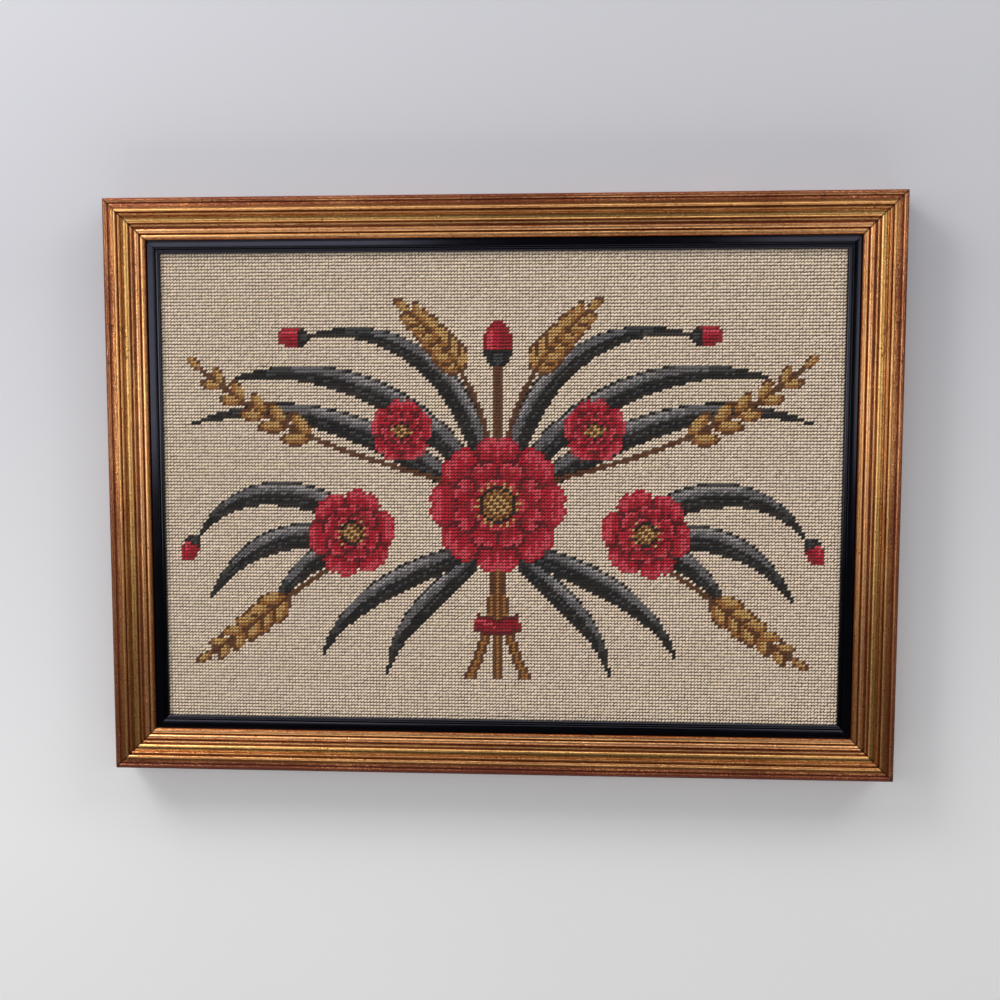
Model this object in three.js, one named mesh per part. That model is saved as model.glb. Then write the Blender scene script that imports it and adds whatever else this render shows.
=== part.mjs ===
import * as THREE from 'three';

// Framed needlepoint picture, lying on its back.
// Millimetres: +X to the picture's right, +Y to its top, +Z out of its face.
// The origin is the middle of the flat back.

// Driving sizes
const STITCH = 25.4 / 12; // one stitch of a canvas with twelve threads to the inch
const STITCHES_WIDE = 211;
const STITCHES_HIGH = 146;
const SIGHT_WIDTH = STITCHES_WIDE * STITCH;
const SIGHT_HEIGHT = STITCHES_HIGH * STITCH;
const CANVAS_FACE = 13; // height of the stitched face above the back of the frame
const CANVAS_THICKNESS = 2.4;
const CANVAS_TUCK = 5; // canvas hidden under the liner on each side
const CLEARANCE = 0.3; // left between neighbouring pieces
const MITRE_SETBACK = CLEARANCE / Math.SQRT2; // each rail stops this short of the mitre
const CURVE_STEPS = 12; // straight steps in each rounded stretch of a moulding

// The faces of both mouldings, from the inner edge outwards. Each row is where a stretch
// ends, out from the sight edge and up from the stitched face, and how far its middle
// swells above the straight line. A hollow has a negative swell.
const LINER_START = { out: 0, up: 1.0 };
const LINER_FACE = [
  { name: 'lip', out: 2.1, up: 1.3, swell: 0.5 },
  { name: 'lip groove', out: 2.6, up: 1.2, swell: -0.3 },
  { name: 'riser', out: 3.0, up: 2.0, swell: 0.1 },
  { name: 'flat', out: 7.1, up: 2.4, swell: 0.12 },
  { name: 'flat edge', out: 7.5, up: 2.0, swell: 0.12 },
  { name: 'step down', out: 7.5, up: 0.9, swell: 0 },
  { name: 'tongue', out: 14.0, up: 0.9, swell: 0 },
];
const GOLD_START = { out: 8.3, up: 2.9 };
const GOLD_FACE = [
  { name: 'inner bead', out: 11.9, up: 3.2, swell: 1.1 },
  { name: 'inner bead groove', out: 12.2, up: 3.0, swell: 0 },
  { name: 'second bead', out: 15.5, up: 3.8, swell: 1.2 },
  { name: 'red cove', out: 17.1, up: 3.1, swell: -0.4 },
  { name: 'fillet', out: 18.3, up: 3.7, swell: 0.35 },
  { name: 'fillet groove', out: 18.6, up: 3.8, swell: -0.2 },
  { name: 'broad ridge', out: 21.8, up: 5.8, swell: 1.05 },
  { name: 'olive cove', out: 23.2, up: 7.0, swell: -0.3 },
  { name: 'thin reed', out: 24.9, up: 7.6, swell: 0.5 },
  { name: 'thin reed groove', out: 25.3, up: 7.4, swell: 0 },
  { name: 'high ridge', out: 27.6, up: 8.0, swell: 1.1 },
  { name: 'outer slope', out: 31.2, up: 7.0, swell: 0.25 },
  { name: 'outer groove', out: 31.6, up: 6.9, swell: -0.15 },
  { name: 'outer bead', out: 34.3, up: 7.2, swell: 0.9 },
  { name: 'shoulder', out: 34.9, up: 6.4, swell: 0.2 },
];

// Hidden parts of the two sections
const LINER_BACK_DROP = 4; // the liner's back edge below the stitched face
const BACK_CHAMFER = 0.8; // on the outer back edge of the gold rails

const lastOf = (table) => table[table.length - 1];

const gold = new THREE.MeshStandardMaterial({
  name: 'gold_leaf', color: 0xb07a3c, roughness: 0.38, metalness: 0.85,
});
const black = new THREE.MeshStandardMaterial({
  name: 'black_satin', color: 0x0b0c10, roughness: 0.35, metalness: 0,
});
const wool = new THREE.MeshStandardMaterial({
  name: 'needlepoint_wool', color: 0xcbb798, roughness: 0.95, metalness: 0,
});

// Draws one face table on a section, as lines and as curves that swell by the stated height.
function drawFace(section, start, table) {
  let from = new THREE.Vector2(start.out, CANVAS_FACE + start.up);
  for (const { out, up, swell } of table) {
    const to = new THREE.Vector2(out, CANVAS_FACE + up);
    if (swell === 0) {
      section.lineTo(to.x, to.y);
    } else {
      const run = to.clone().sub(from);
      const rise = new THREE.Vector2(-run.y, run.x).normalize().multiplyScalar(2 * swell);
      const bend = from.clone().add(to).multiplyScalar(0.5).add(rise);
      section.quadraticCurveTo(bend.x, bend.y, to.x, to.y);
    }
    from = to;
  }
}

// The black liner: a stepped face over a rebate that the canvas sits in.
function linerSection() {
  const outside = lastOf(LINER_FACE).out;
  const rebateWall = CANVAS_TUCK + CLEARANCE;
  const rebateTop = CANVAS_FACE + CLEARANCE;
  const back = CANVAS_FACE - LINER_BACK_DROP;
  const section = new THREE.Shape();
  section.moveTo(LINER_START.out, CANVAS_FACE + LINER_START.up);
  drawFace(section, LINER_START, LINER_FACE);
  section.lineTo(outside, back);
  section.lineTo(rebateWall, back);
  section.lineTo(rebateWall, rebateTop);
  section.lineTo(LINER_START.out, rebateTop);
  section.closePath();
  return section;
}

// The gold moulding: a reeded face over a rebate that the liner sits in.
function goldSection() {
  const outside = lastOf(GOLD_FACE).out;
  const rebateWall = lastOf(LINER_FACE).out + CLEARANCE;
  const rebateTop = CANVAS_FACE + lastOf(LINER_FACE).up + CLEARANCE;
  const section = new THREE.Shape();
  section.moveTo(GOLD_START.out, CANVAS_FACE + GOLD_START.up);
  drawFace(section, GOLD_START, GOLD_FACE);
  section.lineTo(outside, BACK_CHAMFER);
  section.lineTo(outside - BACK_CHAMFER, 0);
  section.lineTo(rebateWall, 0);
  section.lineTo(rebateWall, rebateTop);
  section.lineTo(GOLD_START.out, rebateTop);
  section.closePath();
  return section;
}

// A rail on the lower side of an opening, with both ends mitred at 45 degrees.
function mitredRail(section, sightAlong, sightAcross) {
  const rail = new THREE.ExtrudeGeometry(section, {
    depth: 1, steps: 1, bevelEnabled: false, curveSegments: CURVE_STEPS,
  });
  const points = rail.getAttribute('position');
  for (let i = 0; i < points.count; i += 1) {
    const out = points.getX(i);
    const up = points.getY(i);
    const end = points.getZ(i) > 0.5 ? -1 : 1;
    const along = end * (sightAlong / 2 + out - MITRE_SETBACK);
    points.setXYZ(i, along, -(sightAcross / 2 + out), up);
  }
  rail.computeVertexNormals();
  return rail;
}

// Four rails round the picture, each a quarter turn on from the one before.
function surround(name, section, material) {
  const group = new THREE.Group();
  const sides = ['bottom', 'right', 'top', 'left'];
  sides.forEach((side, turn) => {
    const upright = turn % 2 === 1;
    const along = upright ? SIGHT_HEIGHT : SIGHT_WIDTH;
    const across = upright ? SIGHT_WIDTH : SIGHT_HEIGHT;
    const rail = new THREE.Mesh(mitredRail(section, along, across), material.clone());
    rail.name = `${name}_${side}`;
    rail.rotation.z = turn * Math.PI / 2;
    group.add(rail);
  });
  return group;
}

// The worked canvas: one flat stretched sheet whose edges run under the liner.
function stitchedCanvas() {
  const sheet = new THREE.Mesh(
    new THREE.BoxGeometry(
      SIGHT_WIDTH + 2 * CANVAS_TUCK, SIGHT_HEIGHT + 2 * CANVAS_TUCK, CANVAS_THICKNESS,
    ),
    wool,
  );
  sheet.name = 'stitched_canvas';
  sheet.position.z = CANVAS_FACE - CANVAS_THICKNESS / 2;
  return sheet;
}

const picture = new THREE.Group();
picture.add(surround('gold_rail', goldSection(), gold));
picture.add(surround('liner_strip', linerSection(), black));
picture.add(stitchedCanvas());

export default picture;
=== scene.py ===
import math

import bmesh
import bpy
import numpy as np
from mathutils import Matrix, Vector


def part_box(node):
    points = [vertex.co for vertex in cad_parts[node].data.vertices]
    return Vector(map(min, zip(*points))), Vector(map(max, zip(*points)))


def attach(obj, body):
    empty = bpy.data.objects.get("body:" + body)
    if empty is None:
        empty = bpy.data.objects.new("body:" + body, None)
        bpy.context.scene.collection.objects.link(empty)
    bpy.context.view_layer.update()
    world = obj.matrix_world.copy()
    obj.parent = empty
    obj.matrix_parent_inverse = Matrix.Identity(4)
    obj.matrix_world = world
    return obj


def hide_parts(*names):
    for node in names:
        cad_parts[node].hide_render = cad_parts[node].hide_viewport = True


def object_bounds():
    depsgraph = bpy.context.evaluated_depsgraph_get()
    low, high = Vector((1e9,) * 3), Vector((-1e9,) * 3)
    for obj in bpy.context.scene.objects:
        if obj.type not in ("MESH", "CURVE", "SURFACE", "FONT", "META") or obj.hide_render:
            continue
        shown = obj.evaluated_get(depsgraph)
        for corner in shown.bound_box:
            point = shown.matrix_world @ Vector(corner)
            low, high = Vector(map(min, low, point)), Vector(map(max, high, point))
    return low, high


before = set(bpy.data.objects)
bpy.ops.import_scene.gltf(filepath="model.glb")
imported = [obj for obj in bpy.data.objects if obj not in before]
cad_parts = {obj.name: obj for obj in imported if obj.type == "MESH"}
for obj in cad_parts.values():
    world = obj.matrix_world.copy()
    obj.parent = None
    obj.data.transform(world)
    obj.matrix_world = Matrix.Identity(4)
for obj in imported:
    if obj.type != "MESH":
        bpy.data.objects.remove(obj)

cad_low, cad_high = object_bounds()

# Framed needlepoint picture, lying on its back: +X to its right, +Y to its top, +Z out of its face. Metres.

# Sizes of the worked canvas
STITCH = 0.0254 / 12  # twelve threads to the inch
STITCHES_WIDE = 211
STITCHES_HIGH = 146
SIGHT_WIDTH = STITCHES_WIDE * STITCH
SIGHT_HEIGHT = STITCHES_HIGH * STITCH
canvas_low, canvas_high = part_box("stitched_canvas")
CANVAS_FACE = canvas_high.z
GROUND_DEPTH = 0.0009  # the woven ground lies this far below the tops of the stitches
GROUND_THICKNESS = 0.0010
GROUND_STEPS = (106, 74)
CANVAS_SAG = 0.00035  # the most that the stretched canvas dips away from its edges

SEED = 27

RAILS = ["gold_rail_bottom", "gold_rail_right", "gold_rail_top", "gold_rail_left"]
LINERS = ["liner_strip_bottom", "liner_strip_right", "liner_strip_top", "liner_strip_left"]


# Camera, at the photograph's angle to the picture's face
PHOTO_SIDE = 1000  # pixels
FOCAL_PIXELS = 1011.0
CAMERA_PLACE = (0.0360, 0.0388, 0.6630)  # from the middle of the stitched face
CAMERA_PITCH = 0.069  # radians, about X
CAMERA_YAW = -0.052  # radians, about Y
CAMERA_ROLL = -0.001  # radians, about Z


def make_camera():
    data = bpy.data.cameras.new("camera")
    data.sensor_width = 36.0
    data.lens = data.sensor_width * FOCAL_PIXELS / PHOTO_SIDE
    camera = bpy.data.objects.new("camera", data)
    turn = (
        Matrix.Rotation(-CAMERA_YAW, 4, "Y")
        @ Matrix.Rotation(-CAMERA_PITCH, 4, "X")
        @ Matrix.Rotation(-CAMERA_ROLL, 4, "Z")
    )
    camera.matrix_world = Matrix.Translation(Vector(CAMERA_PLACE) + Vector((0, 0, CANVAS_FACE))) @ turn
    bpy.context.collection.objects.link(camera)
    bpy.context.scene.camera = camera


def soft_light(name, place, aim, wide, high, brightness, colour=(1, 1, 1)):
    data = bpy.data.lights.new(name, "AREA")
    data.shape = "RECTANGLE"
    data.size = wide
    data.size_y = high
    data.energy = brightness * math.pi * wide * high
    data.color = colour
    light = bpy.data.objects.new(name, data)
    light.location = place
    light.rotation_euler = (Vector(aim) - Vector(place)).to_track_quat("-Z", "Y").to_euler()
    light.visible_camera = False
    bpy.context.collection.objects.link(light)


def make_studio():
    soft_light("overhead softbox", (-0.10, 1.30, 0.42), (0, 0.12, 0), 1.8, 0.42, 3.0, (1.0, 0.985, 0.965))
    soft_light("upper left key", (-1.15, 1.10, 0.60), (0, 0.06, 0), 0.7, 0.5, 14.0, (1.0, 0.985, 0.965))
    soft_light("upper right fill", (1.20, 1.05, 0.60), (0, 0.06, 0), 0.7, 0.5, 6.8, (1.0, 0.985, 0.965))
    soft_light("left window", (-1.25, 0.21, 1.50), (-1.25, 0.21, 0), 2.0, 0.48, 2.1, (0.97, 0.985, 1.0))
    soft_light("right window", (1.25, 0.21, 1.50), (1.25, 0.21, 0), 1.6, 0.48, 1.7, (0.97, 0.985, 1.0))
    soft_light("low bounce card", (0.0, -1.55, 0.66), (0, 0.1, 0), 3.2, 0.6, 2.2, (1.0, 0.99, 0.97))
    soft_light("left card", (-1.40, 0.20, 0.80), (0, 0.12, 0), 0.8, 0.5, 3.3, (1.0, 0.99, 0.97))
    soft_light("right card", (1.40, 0.20, 0.80), (0, 0.12, 0), 0.8, 0.5, 1.4, (1.0, 0.99, 0.97))
    world = bpy.data.worlds.new("studio")
    world.use_nodes = True
    back = world.node_tree.nodes["Background"]
    back.inputs["Color"].default_value = (0.80, 0.82, 0.86, 1)
    back.inputs["Strength"].default_value = 0.045
    bpy.context.scene.world = world
    bpy.context.scene.view_settings.view_transform = "Standard"


# Helpers for pieces and materials


def mesh_of(name, shape):
    """Turns a finished bmesh into a mesh, and frees it."""
    mesh = bpy.data.meshes.new(name)
    shape.to_mesh(mesh)
    shape.free()
    return mesh


def new_piece(name, mesh, material):
    piece = bpy.data.objects.new(name, mesh)
    bpy.context.collection.objects.link(piece)
    mesh.materials.append(material)
    return piece


def srgb(r, g, b):
    """A colour given as 0 to 255 screen values, as linear light."""
    linear = [((c / 255 + 0.055) / 1.055) ** 2.4 if c > 10 else c / 255 / 12.92 for c in (r, g, b)]
    return (*linear, 1.0)


class Nodes:
    """Adds nodes to one material, each with its inputs linked or set by name or number."""

    def __init__(self, name):
        self.material = bpy.data.materials.new(name)
        self.material.use_nodes = True
        self.tree = self.material.node_tree
        self.shader = self.tree.nodes["Principled BSDF"]

    def add(self, kind, inputs=None, **settings):
        node = self.tree.nodes.new(kind)
        for key, value in settings.items():
            setattr(node, key, value)
        for key, value in (inputs or {}).items():
            self.join(value, node.inputs[key])
        return node

    def join(self, value, socket):
        if isinstance(value, bpy.types.NodeSocket):
            self.tree.links.new(value, socket)
        else:
            socket.default_value = value

    def math(self, operation, *values, clamp=False):
        inputs = dict(enumerate(values))
        return self.add("ShaderNodeMath", inputs, operation=operation, use_clamp=clamp).outputs[0]

    def mix(self, factor, a, b, blend="MIX"):
        node = self.add("ShaderNodeMix", data_type="RGBA", blend_type=blend)
        for value, socket in zip((factor, a, b), (node.inputs[0], node.inputs[6], node.inputs[7])):
            self.join(value, socket)
        return node.outputs[2]

    def ramp(self, factor, stops, smooth=False):
        """stops is (place, grey or colour) from low to high."""
        node = self.add("ShaderNodeValToRGB", {0: factor})
        node.color_ramp.interpolation = "EASE" if smooth else "LINEAR"
        points = node.color_ramp.elements
        while len(points) < len(stops):
            points.new(0.5)
        for point, (place, value) in zip(points, stops):
            point.position = place
            point.color = value if hasattr(value, "__len__") else (value, value, value, 1)
        return node.outputs[0]

    def noise(self, vector, scale, detail=3.0, rough=0.5):
        inputs = {"Vector": vector, "Scale": scale, "Detail": detail, "Roughness": rough}
        return self.add("ShaderNodeTexNoise", inputs).outputs[0]

    def bump(self, height, strength, distance, under=None):
        inputs = {"Height": height, "Strength": strength, "Distance": distance}
        if under is not None:
            inputs["Normal"] = under
        return self.add("ShaderNodeBump", inputs).outputs[0]

    def place(self):
        return self.add("ShaderNodeTexCoord").outputs["Object"]

    def attribute(self, name, output="Fac"):
        return self.add("ShaderNodeAttribute", attribute_name=name).outputs[output]

    def stretched(self, vector, scale):
        return self.add("ShaderNodeMapping", {"Vector": vector, "Scale": scale}).outputs[0]

    def finish(self, **sockets):
        for key, value in sockets.items():
            self.join(value, self.shader.inputs[key.replace("_", " ")])
        return self.material


# The chart. Places are in stitches from the middle of the canvas, x to the right and y up.

column, row = np.meshgrid(np.arange(STITCHES_WIDE), np.arange(STITCHES_HIGH))
AT_X = column - (STITCHES_WIDE - 1) / 2
AT_Y = row - (STITCHES_HIGH - 1) / 2
FROM_MIDDLE = np.abs(AT_X)  # a motif that is drawn on this is worked on both sides

YARNS = {
    "ground": srgb(222, 204, 180),
    "black": srgb(12, 12, 16),
    "charcoal": srgb(66, 70, 72),
    "grey": srgb(124, 122, 126),
    "silver": srgb(176, 172, 172),
    "wine": srgb(112, 0, 22),
    "crimson": srgb(168, 2, 32),
    "red": srgb(204, 14, 48),
    "coral": srgb(236, 78, 96),
    "gold": srgb(222, 178, 108),
    "ochre": srgb(184, 124, 58),
    "brown": srgb(112, 64, 30),
}
YARN_NAMES = list(YARNS)
chart = np.zeros(column.shape, int)


def work(where, yarn):
    chart[where] = YARN_NAMES.index(yarn)


def ragged(across, up, step):
    """From -1 to 1 over the chart: it breaks a shade's edge into long and short stitches."""
    return ((column * across + row * up) % step) / ((step - 1) / 2) - 1


def smooth_line(points, steps=80):
    """A Bezier curve through its first and last points."""
    points = np.array(points, float)
    last = len(points) - 1
    t = np.linspace(0, 1, steps)[:, None]
    return sum(math.comb(last, i) * (1 - t) ** (last - i) * t**i * points[i] for i in range(last + 1))


def beside(line, x, y):
    """How far along the line each stitch lies, from 0 to 1, and how far off it, positive on its left."""
    start, run = line[:-1], np.diff(line, axis=0)
    nearest, along, side = np.full(x.shape, np.inf), np.zeros(x.shape), np.ones(x.shape)
    for i, ((sx, sy), (rx, ry)) in enumerate(zip(start, run)):
        u = np.clip(((x - sx) * rx + (y - sy) * ry) / (rx * rx + ry * ry), 0, 1)
        ex, ey = x - sx - u * rx, y - sy - u * ry
        off = np.hypot(ex, ey)
        closer = off < nearest
        nearest[closer] = off[closer]
        along[closer] = ((i + u) / len(run))[closer]
        side[closer] = np.where(rx * ey - ry * ex < 0, -1, 1)[closer]
    return along, nearest * side


def leaf(points, width, x, y):
    """A long arching leaf: a black edge and vein, charcoal, grey and a silver light on its upper side."""
    along, off = beside(smooth_line(points), x, y)
    half = width * np.sin(np.pi * along**0.62) ** 0.8
    inside = (np.abs(off) <= half) & (along > 0) & (along < 1)
    across = off / np.maximum(half, 1e-6)
    shade = across + 0.14 * ragged(5, 3, 7)
    work(inside, "black")
    work(inside & (shade > -0.42) & (half > 1.5) & (across < 0.9), "charcoal")
    work(inside & (shade > 0.12) & (across < 0.84) & (half > 2.2) & (along > 0.1) & (along < 0.84), "grey")
    work(inside & (shade > 0.46) & (across < 0.8) & (half > 3.4) & (along > 0.22) & (along < 0.6), "silver")
    work(inside & (np.abs(off + 0.12 * half) < 0.55) & (half > 1.8) & (along < 0.9), "black")


def bloom(cx, cy, radius, petals, turn, x, y):
    """An open flower: three rings of petals, lighter at their tips, round a gold heart."""
    away = np.hypot(x - cx, y - cy)
    angle = np.arctan2(y - cy, x - cx)
    for size, offset in ((1.0, 0.0), (0.68, 0.5), (0.42, 0.0)):
        from_petal = np.abs(((angle - turn) / (2 * np.pi) * petals + offset) % 1 - 0.5) * 2
        rounding = np.sqrt(np.clip(1 - from_petal**2, 0, 1))
        edge = radius * size * (0.80 + 0.20 * rounding - 0.05 * (from_petal < 0.12))
        inside = away <= edge
        depth = (edge - away) / (radius * size)
        shade = depth + 0.06 * ragged(3, 5, 5)
        work(inside, "crimson")
        work(inside & (shade < 0.30) & (from_petal < 0.86), "red")
        work(inside & (shade < 0.17) & (from_petal < 0.70) & (depth > 0.035), "coral")
        work(inside & (from_petal > 0.9) & (depth > 0.05), "wine")
        throat = (away > radius * size * 0.45) & (away < radius * size * 0.60)
        work(inside & throat & (from_petal > 0.55), "wine")
        if size < 1:
            work(inside & (depth < 0.02 + 0.6 / radius), "wine")
    heart = radius * 0.24
    work(away < heart * 1.12, "black")
    work(away < heart * 0.92, "ochre")
    work(away < heart * 0.66, "gold")
    work((away < heart * 0.92) & ((column + row) % 3 == 0), "brown")
    stamens = (away > radius * 0.27) & (away < radius * 0.335)
    work(stamens & (np.sin(angle * petals * 2) > 0.55), "gold")


def turned(cx, cy, angle, x, y):
    """Places along and across a motif that points at an angle."""
    c, s = math.cos(angle), math.sin(angle)
    return (x - cx) * c + (y - cy) * s, (y - cy) * c - (x - cx) * s


def grain(cx, cy, angle, length, width, x, y):
    u, v = turned(cx, cy, angle, x, y)
    round_it = (u / length) ** 2 + (v / width) ** 2
    lit = (u / length) ** 2 + (v / width - 0.25) ** 2
    work(round_it <= 1, "brown")
    work(round_it <= 0.62, "ochre")
    work(lit <= 0.34, "gold")


def ear(points, grains, size, x, y):
    """An ear of corn: a stalk whose far half carries pairs of grains."""
    line = smooth_line(points)
    along, off = beside(line, x, y)
    work((np.abs(off) < 0.75) & (along > 0) & (along < 1), "brown")
    last = len(line) - 1
    for i in range(grains + 1):
        share = i / grains
        at = int((0.5 + 0.49 * share) * last)
        before, after = line[max(at - 2, 0)], line[min(at + 2, last)]
        angle = math.atan2(after[1] - before[1], after[0] - before[0])
        scale = size * (1 - 0.35 * share)
        sides = (0.0,) if i == grains else (0.62, -0.62)
        for lean in sides:
            cx = line[at][0] + math.cos(angle + lean) * scale
            cy = line[at][1] + math.sin(angle + lean) * scale
            grain(cx, cy, angle + 0.7 * lean, 1.15 * scale, 0.52 * scale, x, y)


def bud(cx, cy, angle, size, x, y):
    u, v = turned(cx, cy, angle, x, y)
    round_it = (u / size) ** 2 + (v / (0.62 * size)) ** 2
    work(round_it <= 1, "crimson")
    work((round_it <= 0.8) & (v > -0.1 * size), "red")
    work((round_it <= 0.62) & (v > 0.18 * size) & (u > -0.3 * size), "coral")
    work((round_it <= 1.12) & (u < -0.35 * size), "black")
    work((round_it <= 0.9) & (u < -0.45 * size) & (np.abs(v) < 0.2 * size), "charcoal")


def stalk(points, half, yarn, x, y):
    along, off = beside(smooth_line(points), x, y)
    work((np.abs(off) < half) & (along > 0) & (along < 1), yarn)


# Leaves on the right-hand side, each as its curve's points and its widest half width.
# The left side is the mirror of the right.
LEAVES = [
    ([(4, 0), (6, 36), (34, 54), (60, 47)], 3.8),
    ([(4, 0), (26, 31), (56, 41), (84, 34)], 4.2),
    ([(8, -2), (36, 18), (64, 31), (97, 20)], 4.2),
    ([(40, -12), (62, 2), (84, 3), (96, -17)], 4.0),
    ([(44, -18), (64, -10), (82, -18), (92, -36)], 4.0),
    ([(40, -18), (52, -17), (66, -24), (72, -42)], 3.8),
    ([(10, -20), (26, -26), (48, -34), (56, -54)], 4.0),
    ([(6, -22), (18, -32), (32, -42), (35, -59)], 3.6),
]
# Ears of corn, each as its stalk's points, its pairs of grains and the size of a grain
EARS = [
    ([(3, 14), (6, 32), (16, 44), (28, 55)], 6, 4.4),
    ([(14, 2), (50, 11), (74, 20), (94, 38)], 5, 4.2),
    ([(42, -20), (62, -28), (74, -42), (92, -53)], 5, 4.2),
]
STALK_LEAN = 9  # how far the outer stalks spread at their cut ends
TIE_HEIGHT = -44


def draw_chart():
    for points, width in LEAVES:
        leaf(points, width, FROM_MIDDLE, AT_Y)
    for points, grains, size in EARS:
        ear(points, grains, size, FROM_MIDDLE, AT_Y)
    stalk([(0, 12), (0, 30), (0, 40)], 1.1, "brown", AT_X, AT_Y)
    bud(0, 45, math.pi / 2, 7.0, AT_X, AT_Y)
    bud(64, 47, 0.1, 5.0, FROM_MIDDLE, AT_Y)
    bud(97.5, -19, -1.1, 4.4, FROM_MIDDLE, AT_Y)
    for lean in (STALK_LEAN, 0):
        points = [(0, -18), (lean / 9, TIE_HEIGHT), (lean, -60)]
        stalk(points, 1.6, "brown", FROM_MIDDLE, AT_Y)
        stalk(points, 0.7, "ochre", FROM_MIDDLE, AT_Y)
    tie = [(-7, TIE_HEIGHT + 2), (0, TIE_HEIGHT - 0.5), (7, TIE_HEIGHT + 2)]
    stalk(tie, 2.7, "wine", AT_X, AT_Y)
    stalk(tie, 1.7, "crimson", AT_X, AT_Y)
    stalk(tie[:2], 0.6, "coral", AT_X, AT_Y - 1)
    bloom(46, -14, 14.0, 6, 0.35, FROM_MIDDLE, AT_Y)
    bloom(30, 18, 10.0, 5, 1.0, FROM_MIDDLE, AT_Y)
    bloom(0, -5, 21.5, 8, math.pi / 8, AT_X, AT_Y)


# The stitches, each a slanted seed of wool over one crossing of the canvas

STITCH_ANGLE = math.radians(34)
STITCH_HALF_LENGTH = 0.62 * STITCH
STITCH_HALF_WIDTH = 0.375 * STITCH
STITCH_HALF_HEIGHT = 0.00080
STITCH_SIDES = 5
STITCH_RINGS = 4
FULLNESS = 0.75  # below 1 the seed is blunter than an ellipsoid
GROUND_BANDS = 5  # the ground is worked in bands of rows, each a piece of its own


def stitch_shape():
    """One stitch at the origin, with its length along X: its points, and its faces of three corners."""
    seed = bmesh.new()
    bmesh.ops.create_uvsphere(seed, u_segments=STITCH_SIDES, v_segments=STITCH_RINGS, radius=1.0)
    bmesh.ops.rotate(seed, verts=seed.verts, matrix=Matrix.Rotation(math.pi / 2, 3, "Y"))
    bmesh.ops.triangulate(seed, faces=seed.faces)
    points = np.array([v.co for v in seed.verts])
    radius = np.hypot(points[:, 1], points[:, 2])
    points[:, 1:] *= np.where(radius > 0.01, radius ** (FULLNESS - 1), 1)[:, None]
    faces = np.array([[v.index for v in f.verts] for f in seed.faces])
    seed.free()
    return points, faces


def stitch_places(columns, rows):
    return (
        (columns - (STITCHES_WIDE - 1) / 2) * STITCH,
        (rows - (STITCHES_HIGH - 1) / 2) * STITCH,
    )


def canvas_sag(x, y):
    """A stretched canvas is never quite flat: it dips a little away from its edges."""
    across = np.cos(np.pi * np.clip(x / SIGHT_WIDTH, -0.5, 0.5))
    up = np.cos(np.pi * np.clip(y / SIGHT_HEIGHT, -0.5, 0.5))
    wave = 0.5 + 0.3 * np.sin(x * 21 + 0.6) * np.cos(y * 27 - 0.4) + 0.2 * np.sin(x * 47 - y * 39)
    return -CANVAS_SAG * (across * up) * wave


def run_tints(rng):
    """One needleful of yarn works a run of stitches along a row, and each takes the dye a little apart."""
    tints = np.zeros(chart.shape)
    for r in range(STITCHES_HIGH):
        start = -int(rng.integers(0, 14))
        while start < STITCHES_WIDE:
            length = int(rng.integers(7, 26))
            tints[r, max(start, 0):max(start + length, 0)] = rng.normal()
            start += length
    return tints


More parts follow.
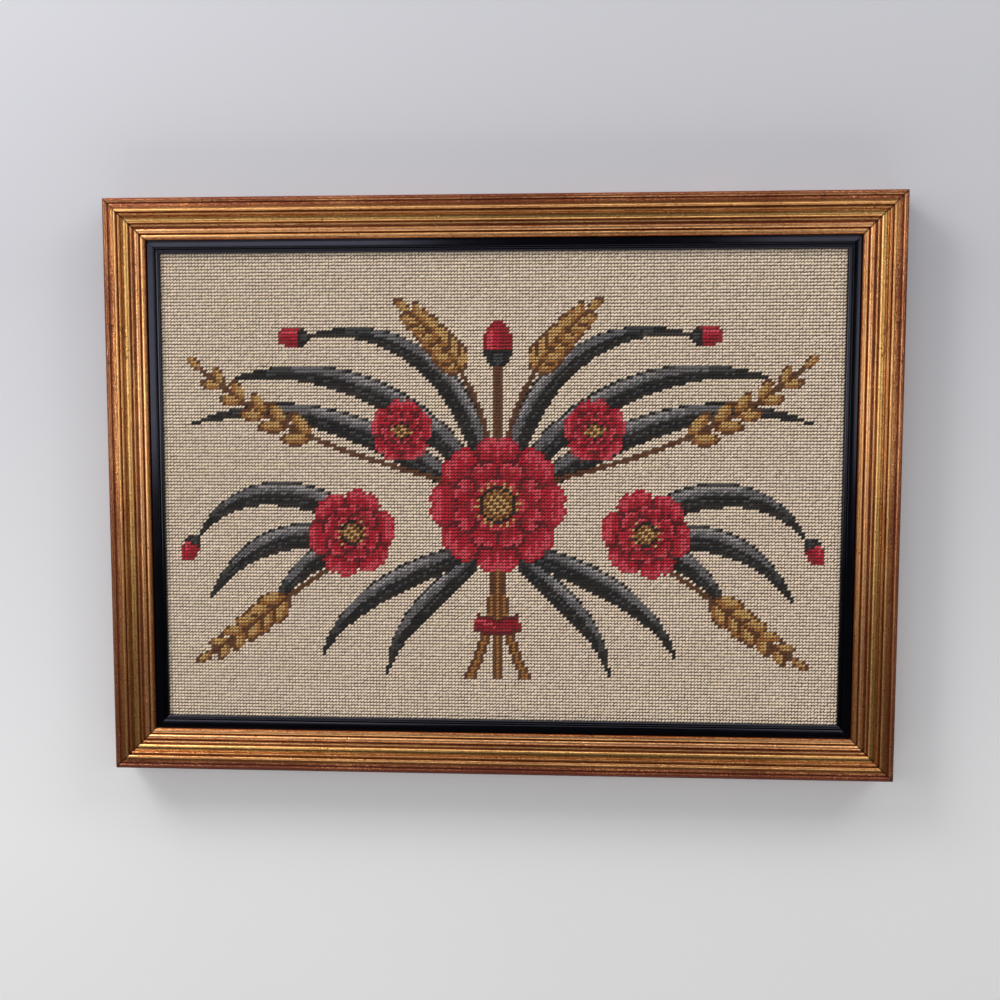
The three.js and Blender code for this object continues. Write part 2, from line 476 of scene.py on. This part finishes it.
def work_stitches(name, where, material, rng, tints):
    """All the stitches of one yarn as one mesh."""
    points, faces = stitch_shape()
    rows, columns = np.nonzero(where)
    count = len(rows)
    x, y = stitch_places(columns, rows)
    angle = STITCH_ANGLE + rng.normal(0, 0.07, count)
    length = STITCH_HALF_LENGTH * (1 + rng.normal(0, 0.05, count))
    width = STITCH_HALF_WIDTH * (1 + rng.normal(0, 0.06, count))
    height = STITCH_HALF_HEIGHT * (1 + rng.normal(0, 0.07, count))
    x += rng.normal(0, 0.03, count) * STITCH
    y += rng.normal(0, 0.03, count) * STITCH
    roll = rng.uniform(-0.25, 0.25, count)
    # each seed's own size, then its slant, then its place
    local = points[None] * np.stack([length, width, height], 1)[:, None]
    ly = local[..., 1] * np.cos(roll)[:, None] - local[..., 2] * np.sin(roll)[:, None]
    lz = local[..., 2] * np.cos(roll)[:, None] + local[..., 1] * np.sin(roll)[:, None] * 0.4
    c, s = np.cos(angle)[:, None], np.sin(angle)[:, None]
    wx = x[:, None] + local[..., 0] * c - ly * s
    wy = y[:, None] + local[..., 0] * s + ly * c
    wz = CANVAS_FACE - STITCH_HALF_HEIGHT * 1.15 + lz + canvas_sag(x, y)[:, None]
    wz = np.minimum(wz, CANVAS_FACE + 0.0002)
    all_points = np.stack([wx, wy, wz], 2).reshape(-1, 3)
    all_faces = (faces[None] + (np.arange(count) * len(points))[:, None, None]).reshape(-1, 3)

    mesh = bpy.data.meshes.new(name)
    mesh.vertices.add(len(all_points))
    mesh.loops.add(all_faces.size)
    mesh.polygons.add(len(all_faces))
    mesh.vertices.foreach_set("co", all_points.astype(np.float32).ravel())
    mesh.loops.foreach_set("vertex_index", all_faces.astype(np.int32).ravel())
    mesh.polygons.foreach_set("loop_start", np.arange(0, all_faces.size, 3, dtype=np.int32))
    mesh.polygons.foreach_set("use_smooth", np.ones(len(all_faces), bool))
    mesh.update(calc_edges=True)

    # what the wool's material reads: the yarn's own length and girth, each stitch's own shade of dye, and
    # how deep each point lies in its seed, which carries painted shade in the holes
    girth = np.arctan2(points[:, 2], points[:, 1]) / (2 * np.pi)
    yarn_uv = np.stack([points[:, 0] * 0.5 + 0.5, girth + 0.5], 1)
    corner_uv = np.tile(yarn_uv[faces.ravel()], (count, 1))
    mesh.uv_layers.new(name="yarn").data.foreach_set("uv", corner_uv.astype(np.float32).ravel())
    bake_uv = np.stack([wx / SIGHT_WIDTH, wy / SIGHT_HEIGHT], 2).reshape(-1, 2)
    low, high = bake_uv.min(0), bake_uv.max(0)
    bake_uv = ((bake_uv - low) / (high - low))[all_faces.ravel()]
    mesh.uv_layers.new(name="OFBake").data.foreach_set("uv", bake_uv.astype(np.float32).ravel())
    carried = {
        "shade": np.repeat(rng.normal(0, 1, count), len(points)),
        "tint": np.repeat(tints[rows, columns], len(points)),
        "depth": np.tile(0.5 - 0.5 * points[:, 2], count),
    }
    for key, values in carried.items():
        attribute = mesh.attributes.new(key, "FLOAT", "POINT")
        attribute.data.foreach_set("value", values.astype(np.float32))

    piece = new_piece(name, mesh, material)
    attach(piece, "root")
    return piece


PLY_TWIST = 15.0  # radians that the plies turn along one stitch
PLY_ROUND = 12.566  # radians once round the yarn, for two plies


def wool_material(name, colour):
    n = Nodes(name)
    shade = n.attribute("shade")
    tint = n.attribute("tint")
    place = n.place()
    yarn = n.add("ShaderNodeSeparateXYZ", {0: n.add("ShaderNodeUVMap", uv_map="yarn").outputs[0]})
    # two plies twisted round each other
    round_yarn = n.math("MULTIPLY", yarn.outputs[1], PLY_ROUND)
    twist = n.math("SINE", n.math("MULTIPLY_ADD", yarn.outputs[0], PLY_TWIST, round_yarn))
    fibre = n.noise(place, 2600, 4.0, 0.6)
    value = n.math("MULTIPLY_ADD", shade, 0.045, 1.0)
    # painted shade and highlight: the wool is painted a little darker in the grooves between the plies and
    # lighter on their crowns
    value = n.math("MULTIPLY", value, n.math("MULTIPLY_ADD", twist, 0.05, 0.98))
    value = n.math("MULTIPLY", value, n.math("MULTIPLY_ADD", fibre, 0.5, 0.78))
    if name == "ground wool":
        rosy, straw = srgb(255, 236, 216), srgb(254, 235, 210)
        step = n.math("MULTIPLY_ADD", tint, 0.33, 0.5, clamp=True)
        patch = n.noise(n.stretched(place, (1, 3.5, 1)), 26, 2.0)
        step = n.math("MULTIPLY", step, n.math("MULTIPLY_ADD", patch, 1.6, 0.2), clamp=True)
        base = n.mix(step, straw, rosy)
    else:
        base = n.mix(n.math("MULTIPLY_ADD", tint, 0.03, 0.02, clamp=True), colour, srgb(150, 130, 110))
    lit = n.add("ShaderNodeCombineXYZ", {0: value, 1: value, 2: value}).outputs[0]
    worked = n.mix(1.0, base, lit, "MULTIPLY")
    # painted shade: the wool is painted browner and darker where it goes down into the holes
    painted_hole_shade = n.ramp(n.attribute("depth"), [(0.15, 0.0), (0.65, 1.0)])
    worked = n.mix(painted_hole_shade, worked, n.mix(1.0, worked, srgb(168, 124, 86), "MULTIPLY"))
    relief = n.bump(twist, 0.55, 0.00012)
    relief = n.bump(fibre, 0.5, 0.00010, relief)
    return n.finish(
        Base_Color=worked, Roughness=0.9, Normal=relief, Sheen_Weight=0.12, Sheen_Roughness=0.5,
    )


def canvas_material():
    """The stiffened cotton ground, seen only between the stitches and from behind, with its printed colours
    darkened as painted shade.
    """
    n = Nodes("canvas ground")
    place = n.place()
    printed = n.attribute("printed", "Color")
    split = n.add("ShaderNodeSeparateXYZ", {0: place})
    threads = []
    for axis in range(2):
        line = n.math("SINE", n.math("MULTIPLY", split.outputs[axis], 2 * math.pi / STITCH))
        threads.append(n.math("MULTIPLY_ADD", line, 0.5, 0.5))
    weave = n.math("MAXIMUM", *threads)
    grit = n.noise(place, 3000, 3.0)
    # painted shade: the printed colours are darkened most of the way to deep brown, a little less on the
    # threads
    colour = n.mix(n.math("MULTIPLY_ADD", weave, -0.1, 0.85), printed, srgb(34, 18, 8))
    colour = n.mix(n.math("MULTIPLY", grit, 0.3), colour, srgb(40, 28, 20))
    return n.finish(Base_Color=colour, Roughness=0.95, Normal=n.bump(weave, 0.6, 0.0002))


def nearest_stitch(places, count):
    """The column or row of the chart that lies nearest to each place."""
    return np.clip(np.rint(places / STITCH + (count - 1) / 2), 0, count - 1).astype(int)


def print_chart(mesh):
    """The canvas is printed in the colours of the yarns that will cover it."""
    places = np.array([v.co for v in mesh.vertices])
    at_column = nearest_stitch(places[:, 0], STITCHES_WIDE)
    at_row = nearest_stitch(places[:, 1], STITCHES_HIGH)
    colours = np.array(list(YARNS.values()))[chart[at_row, at_column]]
    printed = mesh.attributes.new("printed", "FLOAT_COLOR", "POINT")
    printed.data.foreach_set("color", colours.astype(np.float32).ravel())


def make_canvas():
    """The woven ground, a thin stretched sheet where the solid sheet lies, and all its stitches."""
    size = canvas_high - canvas_low
    shape = bmesh.new()
    bmesh.ops.create_grid(shape, x_segments=GROUND_STEPS[0], y_segments=GROUND_STEPS[1], size=0.5)
    bmesh.ops.scale(shape, verts=shape.verts, vec=Vector((size.x, size.y, 1)))
    for v in shape.verts:
        v.co.z = CANVAS_FACE - GROUND_DEPTH + float(canvas_sag(v.co.x, v.co.y))
    bmesh.ops.recalc_face_normals(shape, faces=shape.faces)
    if next(iter(shape.faces)).normal.z < 0:
        bmesh.ops.reverse_faces(shape, faces=shape.faces)
    mesh = mesh_of("canvas_ground", shape)
    print_chart(mesh)
    ground = new_piece("canvas_ground", mesh, canvas_material())
    thick = ground.modifiers.new("thickness", "SOLIDIFY")
    thick.thickness = GROUND_THICKNESS
    thick.offset = -1
    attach(ground, "root")
    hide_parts("stitched_canvas")

    rng = np.random.default_rng(SEED)
    tints = run_tints(rng)
    for index, (yarn, colour) in enumerate(YARNS.items()):
        material = wool_material(f"{yarn} wool", colour)
        where = chart == index
        if yarn != "ground":
            work_stitches(f"stitches_{yarn}", where, material, rng, tints)
            continue
        edges = np.linspace(0, STITCHES_HIGH, GROUND_BANDS + 1).astype(int)
        for band, (first, last) in enumerate(zip(edges[:-1], edges[1:])):
            part = where & (row >= first) & (row < last)
            work_stitches(f"stitches_ground_{band + 1}", part, material, rng, tints)


# The gilded frame. Its reeds are the solids' own. The material lays the leaf, the worn bole, the toning and
# the painted shade in the grooves and coves on them by how far out from the sight edge they lie.

# Each row is how far out in millimetres, how much red bole shows, how dark the toning is and how
# rosy the leaf is. The toning is partly real and partly painted shade: it is darkest in the grooves,
# the coves and at the inner and outer edges.
GILDING = [
    (8.2, 0.55, 1.00, 0.5),
    (9.2, 0.30, 0.70, 0.8),
    (9.8, 0.08, 0.00, 0.8),
    (11.0, 0.18, 0.20, 0.6),
    (12.0, 0.65, 0.95, 0.6),
    (12.8, 0.12, 0.10, 0.9),
    (14.9, 0.30, 0.30, 1.0),
    (15.7, 0.65, 0.60, 0.9),
    (16.6, 0.85, 0.95, 0.7),
    (17.4, 0.18, 0.15, 0.8),
    (18.2, 0.30, 0.35, 0.7),
    (18.7, 0.55, 0.85, 0.5),
    (19.3, 0.05, 0.00, 0.3),
    (20.1, 0.10, 0.22, 0.2),
    (21.4, 0.12, 0.30, 0.1),
    (22.3, 0.25, 0.80, 0.2),
    (23.1, 0.32, 0.90, 0.4),
    (23.9, 0.20, 0.45, 0.7),
    (25.3, 0.40, 0.90, 0.6),
    (26.2, 0.12, 0.05, 0.6),
    (27.2, 0.28, 0.45, 0.4),
    (28.6, 0.55, 0.75, 0.6),
    (30.4, 0.80, 0.90, 0.8),
    (31.4, 0.85, 0.95, 1.0),
    (32.1, 0.45, 0.45, 1.0),
    (33.2, 0.65, 0.75, 1.0),
    (34.2, 0.80, 0.90, 1.0),
    (34.8, 0.75, 0.90, 1.0),
]
GILDING_REACH = 36.0
SIDE_OUT = 0.0347  # the plain outer sides begin this far out
SIDE_TOP = 0.0193  # and end this high
BACK_TOP = 0.0009  # bare wood up to here
RAIL_SHIFT = 3.7  # between the patterns of a level rail and an upright one


def gold_material():
    n = Nodes("antique gold leaf")
    place = n.place()
    x, y, z = n.add("ShaderNodeSeparateXYZ", {0: place}).outputs
    out_x = n.math("SUBTRACT", n.math("ABSOLUTE", x), SIGHT_WIDTH / 2)
    out_y = n.math("SUBTRACT", n.math("ABSOLUTE", y), SIGHT_HEIGHT / 2)
    out = n.math("MAXIMUM", out_x, out_y)
    upright = n.math("GREATER_THAN", out_x, out_y)
    along = n.add("ShaderNodeMix", {0: upright, 2: x, 3: y}, data_type="FLOAT").outputs[0]
    along = n.math("ADD", along, n.math("MULTIPLY", upright, RAIL_SHIFT))
    rail = n.add("ShaderNodeCombineXYZ", {0: along, 1: out, 2: z}).outputs[0]

    def streaks_of(scale, stretch, detail=4.0, rough=0.6):
        """Noise drawn out along the rail."""
        return n.math("SUBTRACT", n.noise(n.stretched(rail, (1 / stretch, 1, 1)), scale, detail, rough), 0.5)

    brushing = streaks_of(1100, 40)
    clouds = streaks_of(40, 2.0)
    speck = streaks_of(1300, 1.0, 2.0, 0.7)
    # the plain outer sides were only rubbed with colour along their length
    side = n.math("MULTIPLY", n.math("GREATER_THAN", out, SIDE_OUT), n.math("LESS_THAN", z, SIDE_TOP))
    speck = n.math("MULTIPLY", speck, n.math("MULTIPLY_ADD", side, -0.72, 1.0))
    rubbed = n.math("MULTIPLY", streaks_of(420, 22, 5.0), side)
    # painted shade: the bottom rail's outer edge is painted darker and redder, toward the bole, and made
    # duller
    painted_bottom_edge_shade = n.math("MULTIPLY_ADD", y, -1.0, -SIGHT_HEIGHT / 2)
    painted_bottom_edge_shade = n.ramp(n.math("MULTIPLY", painted_bottom_edge_shade, 20), [(0.60, 0.0), (0.64, 1.0)])
    painted_bottom_edge_shade = n.math("MULTIPLY", painted_bottom_edge_shade, n.math("SUBTRACT", 1.0, side))
    wander = n.math("MULTIPLY", streaks_of(60, 3.0), 0.0008)
    reach = n.math("DIVIDE", n.math("ADD", out, wander), GILDING_REACH / 1000)
    bole_line = n.ramp(reach, [(row[0] / GILDING_REACH, row[1]) for row in GILDING])
    toning_and_shade_line = n.ramp(reach, [(row[0] / GILDING_REACH, row[2]) for row in GILDING])
    rose_line = n.ramp(reach, [(row[0] / GILDING_REACH, row[3]) for row in GILDING])

    # bole shows where the leaf is thin: along the coves, in streaks and in specks
    bole = n.math("MULTIPLY_ADD", brushing, 1.1, bole_line)
    bole = n.math("MULTIPLY_ADD", speck, 2.6, bole)
    bole = n.math("MULTIPLY_ADD", clouds, 0.8, bole)
    bole = n.math("MULTIPLY_ADD", rubbed, 1.2, bole)
    bole = n.math("MULTIPLY_ADD", painted_bottom_edge_shade, 0.25, bole)
    bole = n.ramp(bole, [(0.38, 0.0), (0.80, 1.0)])
    # the toning, partly painted shade in the grooves and coves, is deepened by specks, rubbing and clouds
    toning_and_shade = n.math("MULTIPLY_ADD", speck, 2.0, toning_and_shade_line)
    toning_and_shade = n.math("MULTIPLY_ADD", rubbed, 1.0, toning_and_shade)
    toning_and_shade = n.math("MULTIPLY_ADD", painted_bottom_edge_shade, 0.4, toning_and_shade)
    toning_and_shade = n.math("MULTIPLY_ADD", clouds, 0.6, toning_and_shade, clamp=True)
    leaf_colour = n.mix(rose_line, srgb(243, 191, 115), srgb(247, 185, 130))
    toned_and_shaded_leaf = n.mix(toning_and_shade, leaf_colour, n.mix(rose_line, srgb(132, 67, 5), srgb(130, 53, 10)))
    bared = n.mix(toning_and_shade, srgb(156, 60, 17), srgb(84, 25, 3))
    colour = n.mix(n.math("MULTIPLY", bole, 0.85), toned_and_shaded_leaf, bared)
    # dark pits, dents and short cracks
    pits = n.add("ShaderNodeTexVoronoi", {"Vector": rail, "Scale": 120.0, "Randomness": 1.0})
    pit = n.ramp(pits.outputs["Distance"], [(0.05, 1.0), (0.10, 0.0)])
    contour = n.math("ABSOLUTE", streaks_of(150, 1.3, 2.0, 0.5))
    patch = n.ramp(n.noise(rail, 30, 2.0), [(0.66, 0.0), (0.70, 1.0)])
    crack = n.math("MULTIPLY", n.ramp(contour, [(0.004, 1.0), (0.012, 0.0)]), patch)
    wear = n.math("MAXIMUM", pit, crack)
    colour = n.mix(n.math("MULTIPLY", wear, 0.85), colour, srgb(42, 20, 10))
    # dirt fills the mitres
    seam = n.math("ABSOLUTE", n.math("SUBTRACT", out_x, out_y))
    seam = n.math("ADD", seam, n.math("MULTIPLY", streaks_of(500, 1.0), 0.0006))
    seam = n.ramp(n.math("MULTIPLY", seam, 100), [(0.035, 1.0), (0.075, 0.0)])
    colour = n.mix(n.math("MULTIPLY", seam, 0.8), colour, srgb(44, 22, 10))
    # bare wood on the flat back
    bare = n.math("LESS_THAN", z, BACK_TOP)
    wood = n.mix(n.math("ADD", streaks_of(220, 25), 0.5), srgb(196, 160, 116), srgb(150, 112, 74))
    colour = n.mix(bare, colour, wood)
    metal = n.math("MULTIPLY_ADD", bole, -0.35, 0.98)
    metal = n.math("MULTIPLY_ADD", painted_bottom_edge_shade, -0.25, metal)
    metal = n.math("MULTIPLY", metal, n.math("SUBTRACT", 1.0, bare))
    rough = n.math("MULTIPLY_ADD", bole, 0.16, 0.30)
    rough = n.math("ADD", rough, n.math("MULTIPLY", speck, 0.35))
    rough = n.math("MULTIPLY_ADD", bare, 0.3, rough)
    rough = n.math("MULTIPLY_ADD", painted_bottom_edge_shade, 0.12, rough)
    relief = n.bump(brushing, 0.3, 0.0002)
    relief = n.bump(speck, 0.4, 0.0003, relief)
    relief = n.bump(n.math("SUBTRACT", 1.0, wear), 0.6, 0.0003, relief)
    return n.finish(Base_Color=colour, Metallic=metal, Roughness=rough, Normal=relief)


def liner_material():
    n = Nodes("black satin paint")
    place = n.place()
    wide = n.noise(place, 60, 3.0)
    fine = n.noise(place, 1400, 3.0)
    dust = n.ramp(n.noise(place, 2300, 2.0), [(0.70, 0.0), (0.80, 1.0)])
    colour = n.mix(wide, srgb(1, 1, 2), srgb(3, 4, 7))
    colour = n.mix(n.math("MULTIPLY", dust, 0.05), colour, srgb(120, 116, 110))
    rough = n.math("MULTIPLY_ADD", wide, 0.08, n.math("MULTIPLY_ADD", fine, 0.06, 0.10))
    shine = (0.76, 0.75, 1.0, 1.0)
    relief = n.bump(fine, 0.2, 0.00006)
    return n.finish(Base_Color=colour, Roughness=rough, Specular_Tint=shine, Normal=relief)


def dress_frame():
    for names, material in ((RAILS, gold_material()), (LINERS, liner_material())):
        for name in names:
            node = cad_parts[name]
            node.data.materials.clear()
            node.data.materials.append(material)


MITRE_GAP = 0.0003  # between two gold rails
FILLER_SINK = 0.0003  # how far the dark line in each mitre lies below the gold faces
FILLER_SIDE_GAP = 0.00002
FACE_HEIGHT = CANVAS_FACE + 0.002  # all of the gold faces lie higher, and the rebates lower


def filler_material():
    n = Nodes("mitre filler")
    colour = n.mix(n.noise(n.place(), 900, 3.0), srgb(30, 16, 8), srgb(70, 38, 20))
    return n.finish(Base_Color=colour, Roughness=0.8)


def fill_mitres():
    """The dark line of glue and dirt between the gold rails at each corner."""
    filler = bmesh.new()
    for name in ("gold_rail_bottom", "gold_rail_top"):
        filler.from_mesh(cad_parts[name].data)
    bmesh.ops.remove_doubles(filler, verts=filler.verts, dist=1e-6)
    # of each rail only the two mitred ends are wanted, and every other face runs from one end to the other
    lengthways = [f for f in filler.faces if min(v.co.x for v in f.verts) < 0 < max(v.co.x for v in f.verts)]
    bmesh.ops.delete(filler, geom=lengthways, context="FACES")
    # trimmed back from the outer sides and from the back of the frame, and sunk below the gold faces
    reach = cad_high.x - FILLER_SINK
    trims = (((reach, 0, 0), (1, 0, 0)), ((-reach, 0, 0), (-1, 0, 0)), ((0, 0, FILLER_SINK), (0, 0, -1)))
    for place, away in trims:
        whole = list(filler.verts) + list(filler.edges) + list(filler.faces)
        bmesh.ops.bisect_plane(filler, geom=whole, plane_co=place, plane_no=away, clear_outer=True)
    bmesh.ops.remove_doubles(filler, verts=filler.verts, dist=1e-5)
    for v in filler.verts:
        if v.co.z > FACE_HEIGHT:
            v.co.z -= FILLER_SINK
    near = list(filler.verts)
    grown = bmesh.ops.extrude_face_region(filler, geom=list(filler.faces))
    far = [v for v in grown["geom"] if isinstance(v, bmesh.types.BMVert)]
    for verts, shift in ((near, FILLER_SIDE_GAP), (far, MITRE_GAP - FILLER_SIDE_GAP)):
        for v in verts:
            across = Vector((math.copysign(1, v.co.x), -math.copysign(1, v.co.y), 0)) / math.sqrt(2)
            v.co += across * shift
    bmesh.ops.recalc_face_normals(filler, faces=filler.faces)
    piece = new_piece("mitre_filler", mesh_of("mitre_filler", filler), filler_material())
    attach(piece, "root")


def floor_material():
    """Pale, with painted light: lighter towards the bottom of the picture and darker towards its top."""
    n = Nodes("pale floor")
    place = n.place()
    up = n.add("ShaderNodeSeparateXYZ", {0: place}).outputs[1]
    painted_light_sweep = n.add("ShaderNodeMapRange", {0: up, 1: -0.25, 2: 0.15}).outputs[0]
    colour = n.mix(painted_light_sweep, srgb(253, 253, 255), srgb(207, 208, 215))
    colour = n.mix(n.math("MULTIPLY", n.noise(place, 3.0, 2.0), 0.1), colour, srgb(190, 190, 196))
    return n.finish(Base_Color=colour, Roughness=0.85)


def make_floor():
    shape = bmesh.new()
    bmesh.ops.create_grid(shape, x_segments=1, y_segments=1, size=4.0)
    floor = new_piece("floor", mesh_of("floor", shape), floor_material())


make_camera()
make_studio()
make_floor()
draw_chart()
make_canvas()
dress_frame()
fill_mitres()

bpy.context.view_layer.update()
